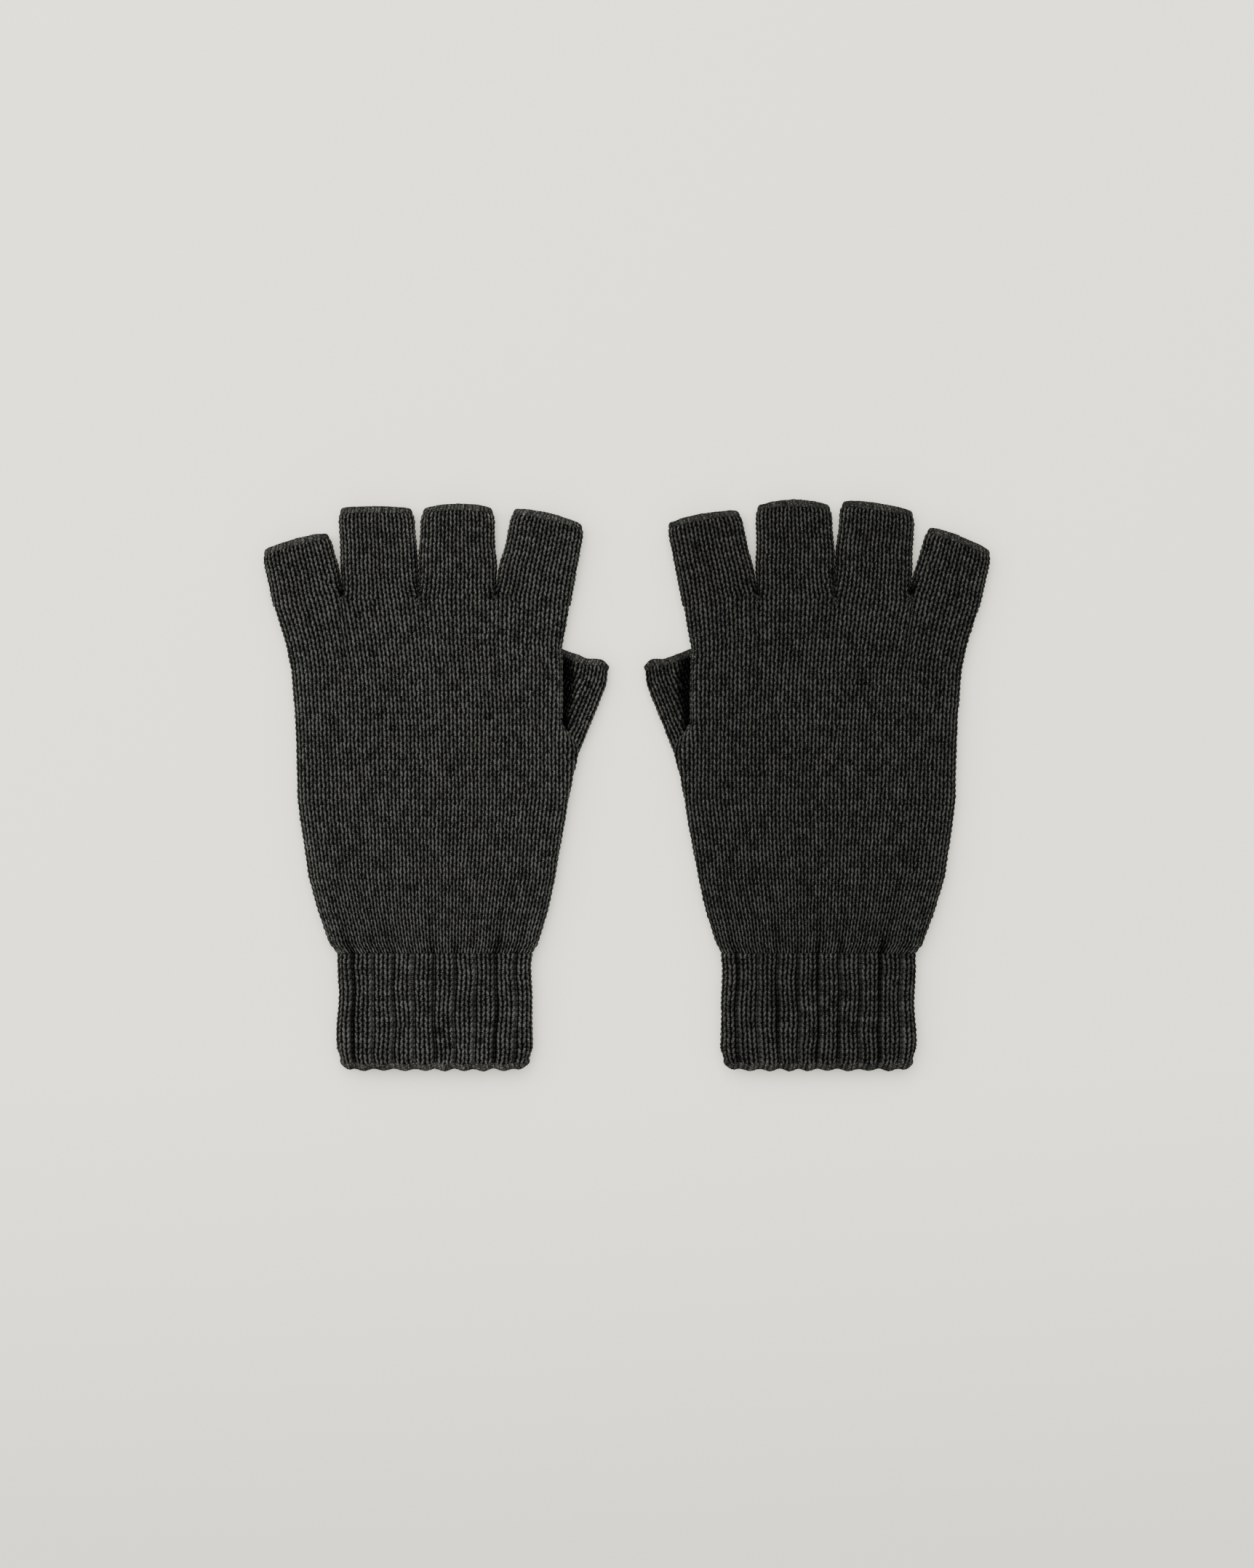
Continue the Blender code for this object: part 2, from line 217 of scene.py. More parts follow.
        nap = add_node(tree, "Math", {"operation": "ADD"}, {0: twist, 1: fibres.outputs[0]})
        bump = add_node(tree, "Bump", {"Strength": 0.55, "Distance": self.nap}, {"Height": nap.outputs[0]})
        tree.links.new(bump.outputs[0], shader.inputs["Normal"])
        shader.inputs["Roughness"].default_value = 0.95
        shader.inputs["IOR"].default_value = 1.5
        shader.inputs["Specular IOR Level"].default_value = 0.03
        shader.inputs["Sheen Weight"].default_value = 0.02
        shader.inputs["Sheen Roughness"].default_value = 0.55
        shader.inputs["Sheen Tint"].default_value = linear("#8e8e88")
        return material

    def ply(self, tree: bpy.types.NodeTree, across: bpy.types.NodeSocket, along: bpy.types.NodeSocket):
        """The slant of the two plies round each other, from 0 in the groove to 1 on a ply; it drives the
        bump and the shade painted into the groove.
        """
        slant = add_node(tree, "Math", {"operation": "MULTIPLY", 1: 2 * pi * self.ply_slant}, {0: across})
        turn = add_node(tree, "Math", {"operation": "MULTIPLY", 1: 2 * pi * self.ply_turns}, {0: along})
        angle = add_node(tree, "Math", {"operation": "ADD"}, {0: slant.outputs[0], 1: turn.outputs[0]})
        wave = add_node(tree, "Math", {"operation": "SINE"}, {0: angle.outputs[0]})
        return add_node(
            tree, "Math", {"operation": "MULTIPLY_ADD", 1: 0.5, 2: 0.5}, {0: wave.outputs[0]}
        ).outputs[0]

    @staticmethod
    def ramp(tree: bpy.types.NodeTree, value: bpy.types.NodeSocket, low: float, high: float):
        """The value's place between low and high, from 0 to 1."""
        return add_node(tree, "MapRange", {"From Min": low, "From Max": high}, {0: value}).outputs[0]

    @staticmethod
    def mixed(tree: bpy.types.NodeTree, first: str, second: str, share: bpy.types.NodeSocket):
        """The colour this far from the first hex colour to the second."""
        node = add_node(
            tree, "Mix", {"data_type": "RGBA", 6: linear(first), 7: linear(second)}, {0: share}
        )
        return node.outputs[2]


STITCH_MAP = "Stitches"  # u counts wales round the tube, v counts courses along it
RISE_AND_SHADE = "yarn_rise_and_painted_shade"  # 0 deep between the yarns, 1 on top of a leg; the colour paints shade from it, and valleys, folds and the pressed thumb lower it as painted shade
VALLEY_PAINTED_SHADE = 0.30  # share of the rise that is lost to the painted shade of a valley between ribs
CROTCH_PAINTED_SHADE = 0.70  # the same painted shade in the fold between two fingers
PRESSED_PAINTED_SHADE = 0.70  # the same painted shade where the thumb is pressed flat beside the hand

PLAIN = WoolFinish("charcoal melange lambswool, stocking stitch", "plain_knit")
RIB = WoolFinish("charcoal melange lambswool, two by two rib", "rib_knit")
EDGE = WoolFinish(
    "charcoal melange lambswool, bound-off chain", "bound_edge", dark_leg="#121211", light_leg="#373735"
)


# ---------------------------------------------------------------- stitches

COURSE_STEPS = 5  # mesh rows along one course
WALE_STEPS = 8  # mesh columns across one wale
RIB_COLUMNS = 2 * WALE_STEPS + 3  # mesh columns across a rib of two wales and its valley
RIB_VALLEY = 0.065  # half width of the purl valley, as a share of a rib and its valley
INSIDE_STEPS = 3 * COURSE_STEPS  # outside rows for each row of a tube's smoother inside
INSIDE_RISE = 0.4  # the inside's even share of rise, which sets only its painted shade, not its shape
UNEVEN_PLACE = 0.03  # how far a stitch strays sideways, in wales
UNEVEN_YARN = 0.12  # how much thicker or thinner one stitch or link is, as a share

# The line of each leg, step by step up one course, in half wales out from the middle of the V: its
# inner flank, its crest, and its outer flank, where the leg of the course below still shows at first
LEG_LINES = (
    (0.12, 0.30, 0.66),
    (0.18, 0.38, 0.66),
    (0.24, 0.46, 0.70),
    (0.30, 0.54, 0.78),
    (0.36, 0.61, 0.86),
)
LEG_MIDDLE = 0.48  # the line about which an opened V spreads, in half wales
# How far each of them stands up, with the middle of the V first, and the gap between wales last; the
# colour paints shade from the same numbers
LEG_RISE = (
    (0.02, 0.16, 0.40, 0.52, 0.00),
    (0.02, 0.40, 0.88, 0.30, 0.00),
    (0.00, 0.48, 1.08, 0.46, 0.00),
    (0.00, 0.46, 1.06, 0.48, 0.00),
    (0.00, 0.30, 0.80, 0.40, 0.00),
)


def smooth(value: Array | float, low: float, high: float) -> Array | float:
    """0 below low, 1 above high, and an S-curve between."""
    share = np.clip((value - low) / (high - low), 0.0, 1.0)
    return share * share * (3 - 2 * share)


@dataclass(frozen=True)
class Stitching:
    """How one tube is knitted: its stitches, and how they stand."""

    wales: int
    courses: int
    spread: float = 1.0  # how far the V opens
    proud: float = 0.95 * MM
    ribs: int = 0  # ribs round the tube, each of two wales and a valley, or none

    @property
    def rows(self) -> int:
        """Mesh rows along the tube, both ends counted."""
        return self.courses * COURSE_STEPS + 1

    def patterned(self) -> tuple[Array, Array]:
        """Where one course's columns lie in their wale, in wales, and how high each stands.

        Returns:
            The places and the rises, each a row per step up the course and a column per step across.
        """
        place = np.zeros((COURSE_STEPS, WALE_STEPS))
        rise = np.zeros((COURSE_STEPS, WALE_STEPS))
        for row, (lines, heights) in enumerate(zip(LEG_LINES, LEG_RISE)):
            inner, crest, outer = ((LEG_MIDDLE + (line - LEG_MIDDLE) * self.spread) / 2 for line in lines)
            centre, inner_up, crest_up, outer_up, gap = heights
            place[row] = (-0.5, -outer, -crest, -inner, 0.0, inner, crest, outer)
            rise[row] = (gap, outer_up, crest_up, inner_up, centre, inner_up, crest_up, outer_up)
        return place + 0.5, rise

    def lattice(self, rng: np.random.Generator) -> tuple[Array, Array]:
        """Every mesh point's place round the tube and its rise.

        Args:
            rng: Where the small unevenness of the yarn comes from.

        Returns:
            Places in wales, from 0 to the number of wales, and rises from 0 to about 1.
        """
        place, rise = self.patterned()
        steps = np.arange(self.rows) % COURSE_STEPS
        course = np.arange(self.rows) // COURSE_STEPS
        wale = np.arange(self.wales)
        shift = rng.normal(0, UNEVEN_PLACE, (self.courses + 1, self.wales))
        swell = 1 + rng.normal(0, UNEVEN_YARN, (self.courses + 1, self.wales))
        places = (place[steps][:, None, :] + shift[course][:, :, None]) + wale[None, :, None]
        places[:, :, 0] = wale[None, :]
        rises = rise[steps][:, None, :] * swell[course][:, :, None]
        places = places.reshape(self.rows, -1)
        rises = rises.reshape(self.rows, -1)
        return (places, rises) if not self.ribs else self.ribbed(places, rises)

    def ribbed(self, places: Array, rises: Array) -> tuple[Array, Array]:
        """Puts two wales on each rib and a purl valley between, with places still counted in ribs."""
        pair = 2 * WALE_STEPS
        rows = places.shape[0]
        knit_place = (places - 2 * np.repeat(np.arange(self.ribs), pair)[None]) / 2
        knit_place = knit_place.reshape(rows, self.ribs, pair)
        out_place = np.zeros((rows, self.ribs, RIB_COLUMNS))
        out_rise = np.zeros_like(out_place)
        out_place[:, :, 2:-1] = RIB_VALLEY + knit_place * (1 - 2 * RIB_VALLEY)
        out_rise[:, :, 2:-1] = rises.reshape(rows, self.ribs, pair)
        out_place[:, :, 1] = RIB_VALLEY / 2
        out_place[:, :, -1] = 1 - RIB_VALLEY / 2
        # The purl valley's rise sets its height and the shade painted into it
        purl = 0.30 + 0.35 * np.abs(np.sin(pi * np.arange(rows) / COURSE_STEPS))
        out_rise[:, :, 0] = purl[:, None]
        out_rise[:, :, 1] = out_rise[:, :, -1] = 0.6 * purl[:, None]
        out_place += np.arange(self.ribs)[None, :, None]
        return out_place.reshape(rows, -1), out_rise.reshape(rows, -1)


# ---------------------------------------------------------------- shapes

TURN_STEPS = 25  # points round each rounded side of a tube


def rounded(depth: float, from_end: float, length: float) -> float:
    """How far a corner of this depth and length draws a tube's side in, this far from its end."""
    return depth * (1 - min(1.0, from_end / length)) ** 2


def edge_at(edge: tuple[tuple[float, float], ...], y: Array | float) -> Array | float:
    """How far out an edge, given by its heights and reaches, runs at each height."""
    heights, reaches = np.array(edge).T
    return np.interp(y, heights, reaches)


@dataclass(frozen=True)
class Lay:
    """How a tube lies at one row: its two edges in plan, its heights, and how round its edges are."""

    left: Array
    right: Array
    low: float
    high: float
    round_left: float
    round_right: float
    start: float = 0.5  # where round the tube is counted from, on top, as a share of its width

    def outline(self) -> Array:
        """Points round the tube from its start on top, over its right edge, and back.

        Returns:
            The points, the first and the last in one place.
        """
        width = float(np.hypot(*(self.right - self.left)))
        half = (self.high - self.low) / 2
        middle = (self.high + self.low) / 2
        turn = np.linspace(pi / 2, -pi / 2, TURN_STEPS)
        right_x = width - self.round_right * (1 - np.cos(turn))
        left_x = self.round_left * (1 - np.cos(turn))
        across = np.concatenate(([self.start * width], right_x, left_x[::-1], [self.start * width]))
        rise = middle + half * np.sin(turn)
        height = np.concatenate(([self.high], rise, rise[::-1], [self.high]))
        along = (self.right - self.left) / width
        plan = self.left[None] + across[:, None] * along[None]
        return np.column_stack((plan, height))


def lengths(points: Array) -> Array:
    """How far along the points each one is."""
    return np.concatenate(([0.0], np.cumsum(np.linalg.norm(np.diff(points, axis=0), axis=1))))


def placed(outline: Array, distances: Array) -> Array:
    """The points at these distances along an outline."""
    along = lengths(outline)
    return np.column_stack([np.interp(distances, along, outline[:, axis]) for axis in range(3)])


def facing(grid: Array) -> Array:
    """Outward unit normals of a grid of points that closes on itself round its columns.

    Args:
        grid: Rows of points along the tube.

    Returns:
        One unit vector for each point. They point out where a row runs clockwise, seen from its near end.
    """
    around = np.roll(grid, -1, axis=1) - np.roll(grid, 1, axis=1)
    along = np.roll(grid, -1, axis=0) - np.roll(grid, 1, axis=0)
    along[0] = grid[1] - grid[0]
    along[-1] = grid[-1] - grid[-2]
    normal = np.cross(around, along)
    return normal / np.maximum(np.linalg.norm(normal, axis=2, keepdims=True), 1e-12)


@dataclass
class Skin:
    """Rings of points that close both ways, with what each point carries. A tube's rings run up its
    outside and back down its inside."""

    rings: Array
    wale: Array  # per ring and column, with one more column to close the count
    course: Array  # per ring
    # per point; the colour paints shade between the yarns from it
    rise: Array
    creases: tuple[int, ...] = ()  # rings where the skin turns sharply

    def mesh(self, name: str) -> bpy.types.Object:
        """Makes the object, with its faces out, its stitch map and its yarn rise, which the colour paints
        shade from.
        """
        rows, columns = self.rings.shape[:2]
        points = self.rings.reshape(-1, 3)
        ring = np.arange(rows)
        column = np.arange(columns)
        next_ring, next_column = (ring + 1) % rows, (column + 1) % columns

        def round_faces(*values: Array) -> Array:
            """The four corners' values of every face, a row per face."""
            return np.stack(values, axis=-1).reshape(-1, 4)

        corners = round_faces(
            ring[:, None] * columns + column[None],
            ring[:, None] * columns + next_column[None],
            next_ring[:, None] * columns + next_column[None],
            next_ring[:, None] * columns + column[None],
        )
        far_wale = self.wale[next_ring]
        wale = round_faces(self.wale[:, :-1], self.wale[:, 1:], far_wale[:, 1:], far_wale[:, :-1])
        low = np.repeat(self.course[:, None], columns, axis=1)
        high = np.repeat(self.course[next_ring][:, None], columns, axis=1)
        course = round_faces(low, low, high, high)
        a, b, c, d = (points[corners[:, index]] for index in range(4))
        volume = np.einsum("ij,ij->i", a, np.cross(b, c)) + np.einsum("ij,ij->i", a, np.cross(c, d))
        if volume.sum() < 0:
            corners, wale, course = corners[:, ::-1], wale[:, ::-1], course[:, ::-1]
        data = bpy.data.meshes.new(name)
        data.vertices.add(len(points))
        data.vertices.foreach_set("co", points.astype(np.float32).ravel())
        data.loops.add(corners.size)
        data.loops.foreach_set("vertex_index", corners.astype(np.int32).ravel())
        data.polygons.add(len(corners))
        data.polygons.foreach_set("loop_start", np.arange(0, corners.size, 4, dtype=np.int32))
        data.polygons.foreach_set("use_smooth", np.ones(len(corners), dtype=bool))
        layer = data.uv_layers.new(name=STITCH_MAP)
        layer.uv.foreach_set("vector", np.stack((wale, course), axis=-1).astype(np.float32).ravel())
        rise = data.attributes.new(RISE_AND_SHADE, "FLOAT", "POINT")
        rise.data.foreach_set("value", self.rise.astype(np.float32).ravel())
        data.update(calc_edges=True)
        self.crease(data, columns)
        thing = bpy.data.objects.new(name, data)
        bpy.context.scene.collection.objects.link(thing)
        return thing

    def crease(self, data: bpy.types.Mesh, columns: int) -> None:
        """Keeps the shading of the creased rings' two sides apart, as at a tube's ends."""
        ends = np.empty(len(data.edges) * 2, np.int32)
        data.edges.foreach_get("vertices", ends)
        rings = ends.reshape(-1, 2) // columns
        sharp = (rings[:, 0] == rings[:, 1]) & np.isin(rings[:, 0], self.creases)
        attribute = data.attributes.new("sharp_edge", "BOOLEAN", "EDGE")
        attribute.data.foreach_set("value", sharp)


def walled(outer: Array, surface: Array, normals: Array, wall: float, places: Array, rises: Array) -> Skin:
    """The skin of a tube: its knitted outside, and a smoother inside as far in as the wall is thick.

    Args:
        outer: The knitted outside's points.
        surface: The same points before the yarn stands up.
        normals: The surface's outward normals.
        wall: The wall's thickness under the yarn.
        places: Each column's place, in wales.
        rises: Each point's rise.

    Returns:
        The skin.
    """
    rows = len(outer)
    inside_rows = np.unique(np.append(np.arange(0, rows, INSIDE_STEPS), rows - 1))[::-1]
    inner = surface[inside_rows] - normals[inside_rows] * wall
    order = np.concatenate((np.arange(rows), inside_rows))
    wale = np.column_stack((places, places[:, :1] + round(places[0, -1] - places[0, 0] + 0.5)))[order]
    rise = np.concatenate((rises, np.full((len(inside_rows), rises.shape[1]), INSIDE_RISE)))
    return Skin(np.concatenate((outer, inner)), wale, order / COURSE_STEPS, rise, (0, rows - 1))


# Round a bound-off chain's section: share of its length off the end, and of the wall outward
CHAIN_SECTION = (
    (-0.12, 0.05),
    (-0.04, 0.56),
    (0.40, 0.66),
    (0.80, 0.45),
    (1.0, -0.05),
    (0.92, -0.55),
    (0.65, -0.98),
    (0.25, -1.10),
    (-0.10, -1.0),
    (-0.12, -0.45),
)
CHAIN_MIDDLE = 0.45  # where a link swells from, as a share of the length
CHAIN_LEAN = 0.9  # how far the links slant round the section, in wales
CHAIN_COURSE = 0.3  # courses that one step of the section counts for


def rolled_edge(
    base: Array,
    normals: Array,
    along: Array,
    length: float,
    wall: float,
    wales: int,
    rng: np.random.Generator,
) -> Skin:
    """A bound-off chain that rolls over the end of a tube.

    Args:
        base: The tube's end ring.
        normals: Its outward normals.
        along: Unit vectors that point off the tube's end.
        length: How far the chain reaches past the ring.
        wall: The tube wall's thickness.
        wales: Wales that the chain closes, each with two links.
        rng: Where its unevenness comes from.

    Returns:
        The skin.
    """
    columns, steps = len(base), len(CHAIN_SECTION)
    place = np.arange(columns) * wales / columns
    swell = np.interp(place, np.arange(wales), rng.normal(1, UNEVEN_YARN, wales))
    rings, rises = [], []
    for number, (off, out) in enumerate(CHAIN_SECTION):
        link = np.abs(np.sin(2 * pi * (place - CHAIN_LEAN * number / steps)))
        body = (0.84 + 0.20 * link) * swell
        offset = (CHAIN_MIDDLE + (off - CHAIN_MIDDLE) * (1 + body) / 2) * length
        rings.append(base + along * offset[:, None] + normals * (out * wall * body)[:, None])
        # Painted shade between the links: the colour darkens where one link meets the next
        rises.append(0.16 + 0.62 * link)
    wale = np.repeat(np.append(place, wales)[None], steps, axis=0)
    return Skin(np.array(rings), wale, np.arange(steps) * CHAIN_COURSE, np.array(rises))


# ---------------------------------------------------------------- glove


@dataclass
class Finger:
    """One half finger: widths, length along its middle, lean from +Y toward the thumb, and slope and
    arch of its tip, with the height up to which it lies against the next finger toward the thumb."""

    root: float
    tip: float
    length: float
    lean: float
    slope: float
    arch: float
    notch: float = 0.0


LEFT_FINGERS = {
    "little": Finger(25.0, 25.6, 21.3, -12.2, 15.0, 0.7, 174.6),
    "ring": Finger(26.8, 27.4, 32.6, -3.2, 0.0, 0.5, 180.3),
    "middle": Finger(27.3, 26.6, 33.1, 0.3, 0.0, 1.6, 176.0),
    "index": Finger(26.6, 26.9, 30.4, 10.6, -13.0, 0.9),
}
RIGHT_FINGERS = {
    "little": Finger(25.0, 25.2, 22.4, -13.8, 21.0, 0.7, 172.5),
    "ring": Finger(26.8, 27.1, 33.5, -3.5, 8.0, 0.7, 182.5),
    "middle": Finger(27.3, 27.5, 34.4, 1.2, 0.0, 1.9, 174.8),
    "index": Finger(26.6, 27.2, 30.4, 11.2, -10.0, 0.9),
}


@dataclass
class GlovePattern:
    """The sizes that both gloves are knitted to, in millimetres in plan: x from the middle of the cuff
    toward the thumb, y up from the cast-on edge."""

    cuff_length: float = 41.0
    cuff_half: float = 35.0
    cuff_wall: float = 1.3
    cuff_bend: float = 15.0  # length of the cuff's top meant to bend with the hand; nothing bends it, and the point worked out from it is not used
    rib_fold: float = 1.5  # how far a valley between ribs draws in
    rib_run: float = 8.0  # length over which the ribs run out into the hand
    cast_on: float = 2.2
    cast_on_thick: float = 1.5
    hand_length: float = 125.4
    hand_wall: float = 1.5
    side_wales: int = 18  # wales on the thumb's side that take up what its edge adds
    lie: float = 9.8
    # The hand's two edges, as height and reach, and its thumb edge as if no thumb parted from it
    little_edge: tuple = (
        (41.0, 35.0), (44.5, 37.7), (56.5, 42.2), (68.0, 45.4), (95.0, 48.7), (126.0, 49.9),
        (142.0, 51.2), (152.0, 53.2), (160.0, 55.4), (166.4, 57.3), (180.0, 60.0),
    )
    thumb_edge: tuple = (
        (41.0, 35.0), (44.5, 36.9), (56.5, 40.5), (68.0, 43.2), (95.0, 47.6), (104.0, 49.5),
        (109.0, 50.8), (112.0, 51.5), (114.0, 51.2), (117.0, 49.4), (120.0, 46.8), (123.0, 45.4),
        (151.0, 45.3), (166.4, 48.0), (180.0, 50.5),
    )
    thumb_edge_smooth: tuple = (
        (41.0, 35.0), (44.5, 36.9), (56.5, 40.5), (68.0, 43.2), (95.0, 46.2), (120.0, 46.4),
        (151.0, 46.4), (166.4, 48.0), (180.0, 50.5),
    )
    little_root_x: float = -57.5
    finger_wall: float = 1.4
    bend: float = 9.0  # length of a finger or of the thumb meant to bend with the hand; nothing bends it, and the points worked out from it are not used
    rim: float = 2.4
    rim_thick: float = 1.45
    tight: tuple = (108.0, 124.0, 146.0, 158.0)  # heights between which the thumb draws the edge flat
    thumb_root: tuple = (38.2, 114.9)
    thumb_width: float = 24.0
    thumb_length: float = 34.0
    thumb_lean: float = 22.0
    thumb_height: float = 7.5
    thumb_flat: float = 2.9  # height of the thumb where the hand lies on it
    thumb_wall: float = 0.45
    thumb_rim_thick: float = 1.0
    # How far outside the hand's edge the thumb's fold ends, at each height
    thumb_fold: tuple = ((117.0, -1.2), (123.0, 2.4), (134.0, 4.6), (143.0, 3.8), (151.0, 2.0))
    yarn: float = 0.95  # how far the stitches stand up
    clear: float = 0.3  # from the lowest stitches to the floor
    inset: float = 0.8  # from a tube's outline in plan to the surface that its yarn stands on
    hand_knit: Stitching = field(default_factory=lambda: Stitching(70, 62))
    cuff_knit: Stitching = field(default_factory=lambda: Stitching(40, 21, proud=0.9 * MM, ribs=20))

    @property
    def knuckle_y(self) -> float:
        """The middle of the knuckle line."""
        return self.cuff_length + self.hand_length

    @property
    def low(self) -> float:
        """Height of the palm layer's surface, with its yarn still to stand up under it."""
        return self.yarn + self.clear

    @property
    def high(self) -> float:
        """Height of the back layer's surface, with its yarn still to stand up on it."""
        return self.lie - self.yarn


# The joining strands between two fingers, in millimetres: how far past the crotch each one's middle
# lies, how far its one end is past its middle, and half its width
STRANDS = ((-2.1, 0.3, 1.7), (-0.4, 1.3, 2.3), (-1.6, 2.4, 1.4))
STRAND_STEPS = 9  # rings along a strand
STRAND_SIDES = 8  # points round it


def heading(lean: float) -> tuple[Array, Array]:
    """Plan direction that leans from +Y toward +X by this many degrees, and the one to its right."""
    angle = radians(lean)
    return np.array((sin(angle), cos(angle))), np.array((cos(angle), -sin(angle)))


class Glove:
    """One glove, from its cuff to its rims."""

    def __init__(self, side: Side, fingers: dict[str, Finger], painted_light: float, seed: int) -> None:
        """Places the glove over its CAD nodes.

        Args:
            side: The hand it is for.
            fingers: Its fingers by name, the little finger first.
            painted_light: How much light is painted onto its yarn; below 1 the whole glove is painted in
                shade.
            seed: Seed of its unevenness.
        """
        self.side = side
        self.fingers = fingers
        self.names = list(fingers)
        self.neighbours = list(zip(self.names, self.names[1:]))
        self.size = GlovePattern()
        self.rng = np.random.default_rng(seed)
        self.turned = 1 if side is Side.LEFT else -1
        low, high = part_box(self.node("cuff_edge"))
        self.origin = np.array(((low.x + high.x) / 2, low.y))
        self.hand_body = self.node("hand")
        self.cloth = {finish.slot: finish.make(painted_light) for finish in (PLAIN, RIB, EDGE)}
        self.roots = self.finger_roots()
        self.phase = self.rng.uniform(0, 2 * pi, 8)

    def node(self, piece: str) -> str:
        """The name of this glove's CAD node or body."""
        return f"{self.side.value}_{piece}"

    def world(self, points: Array) -> Array:
        """Plan points in millimetres, brought to their place in the pair in metres."""
        moved = np.array(points, float) * MM
        moved[..., 0] = moved[..., 0] * self.turned + self.origin[0]
        moved[..., 1] += self.origin[1]
        return moved

    def spot(self, plan: Array, height: float) -> Point:
        """One plan point at a height, in the pair's frame."""
        x, y, z = self.world(np.array((*plan, height)))
        return float(x), float(y), float(z)

    def dress(
        self,
        skin: Skin,
        piece: str,
        finish: WoolFinish,
        nodes: tuple[str, ...],
    ) -> bpy.types.Object:
        """Makes a skin into a piece in its place, with its finish, and hides the CAD nodes that it stands
        for.

        Args:
            skin: The skin, in millimetres in plan.
            piece: The piece's name, without its hand.
            finish: Its finish.
            nodes: The CAD nodes it stands for, without their hand.

        Returns:
            The object.
        """
        skin.rings = self.world(skin.rings)
        thing = skin.mesh(self.node(piece))
        thing.data.materials.append(self.cloth[finish.slot])
        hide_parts(*(self.node(name) for name in nodes))
        LOG.info("%s: %d faces", thing.name, len(thing.data.polygons))
        return thing

    def finger_roots(self) -> dict[str, tuple[Array, Array]]:
        """Left and right end of each finger's root line, which is square to the finger."""
        roots = {}
        x = self.size.little_root_x
        for name, finger in self.fingers.items():
            across = heading(finger.lean)[1]
            middle = np.array((x + finger.root / 2, self.size.knuckle_y))
            reach = across * (finger.root / 2 / across[0])
            roots[name] = (middle - reach, middle + reach)
            x += finger.root
        return roots

    def knuckle_line(self, x: Array) -> Array:
        """How far the knuckle line is above its middle at each x, eased over the steps between fingers."""
        ends = [end for pair in self.roots.values() for end in pair]
        xs = [ends[0][0]]
        ys = [ends[0][1]]
        for number in range(1, len(ends)):
            ease = -0.9 if number % 2 else 0.9
            last = number == len(ends) - 1
            xs.append(ends[number][0] + (0 if last else ease))
            ys.append(ends[number][1])
        return np.interp(x, xs, ys) - self.size.knuckle_y

    def crotch(self, first: str, second: str) -> Array:
        """The point in plan where two neighbouring fingers part."""
        return (self.roots[first][1] + self.roots[second][0]) / 2

    def lay_loose(self, points: Array, share: Array | float = 1.0) -> None:
        """Gives the points the slow swell of cloth that lies loose, more the higher they are.

        Args:
            points: The points, which it moves.
            share: How loose the cloth is, from 0 to 1.
        """
        x, y = points[..., 0], points[..., 1]
        a, b, c, d = self.phase[:4]
        swell = np.sin(x / 11 + y / 37 + a) + np.sin(y / 15 - x / 31 + b)
        swell = swell + 0.7 * np.sin(x / 7 - y / 12 + c) + 0.6 * np.sin((x + y) / 9 + d)
        points[..., 2] += 0.22 * swell * share * points[..., 2] / self.size.lie

    def thumb_room(self, points: Array) -> Array:
        """How far the palm lifts off the surface over the thumb, as a share of the thumb's flat height."""
        size = self.size
        offset = points[..., :2] - np.array(size.thumb_root)
        forward, across = heading(size.thumb_lean)
        along, out = offset @ forward, offset @ across
        half = size.thumb_width / 2 + 0.8
        beside = out + half + np.maximum(along, 0) * 0.12
        inside = np.where(along > 0, beside, half - np.hypot(along, out))
        top = size.thumb_root[1] + hypot(size.thumb_length, size.thumb_width / 2) + 1.5
        inside = np.minimum(inside, top - points[..., 1])
        return smooth(inside, -1.2, 2.2)

    # ------------------------------------------------------------ sections

    def knitted(
        self,
        lays: list[Lay],
        knit: Stitching,
        wall: float,
        shape: Callable[[Array], Array] | None = None,
        spacing: Callable[[int, Array, Array], Array] | None = None,
        sink: Callable[[Array, Array], Array] | None = None,
    ) -> tuple[Skin, Array, Array]:
        """Knits a tube over its lays.

        Args:
            lays: How it lies at each mesh row, in millimetres.
            knit: Its stitches.
            wall: Its wall under the yarn, in millimetres.
            shape: Moves the surface's points.
            spacing: Distance round the outline for each place round the tube, row by row.
            sink: How far the surface sinks along its normal, from its points and places.

        Returns:
            The skin, and the surface and its normals.
        """
        places, rises = knit.lattice(self.rng)
        whole = knit.ribs or knit.wales
        rows = []
        for number, lay in enumerate(lays):
            outline = lay.outline()
            total = lengths(outline)[-1]
            if spacing:
                distances = spacing(number, outline, places[number])
            else:
                distances = places[number] / whole * total
            rows.append(placed(outline, distances))
        surface = np.array(rows)
        if shape:
            surface = shape(surface)
        normals = facing(surface)
        if sink:
            surface = surface - normals * sink(surface, places)[..., None]
        side = np.hypot(normals[..., 0], normals[..., 1])  # pressed smoother where the tube turns under
        height = (rises * (1 - 0.5 * side) + 0.34 * side) * knit.proud / MM
        outer = surface + normals * height[..., None]
        return walled(outer, surface, normals, wall, places, rises), surface, normals

    def fold_depth(self, rib: Array, y: Array) -> Array:
        """How deep each valley between ribs is drawn in, as a share, which varies up the cuff."""
        number = np.round(rib)
        base = 0.5 + 0.65 * np.sin(number * 2.4 + self.phase[4]) * np.sin(number * 0.9 + self.phase[5])
        return np.clip(base + 0.25 * np.sin(y / 6.5 + number * 1.9 + self.phase[6]), 0.08, 1.1)

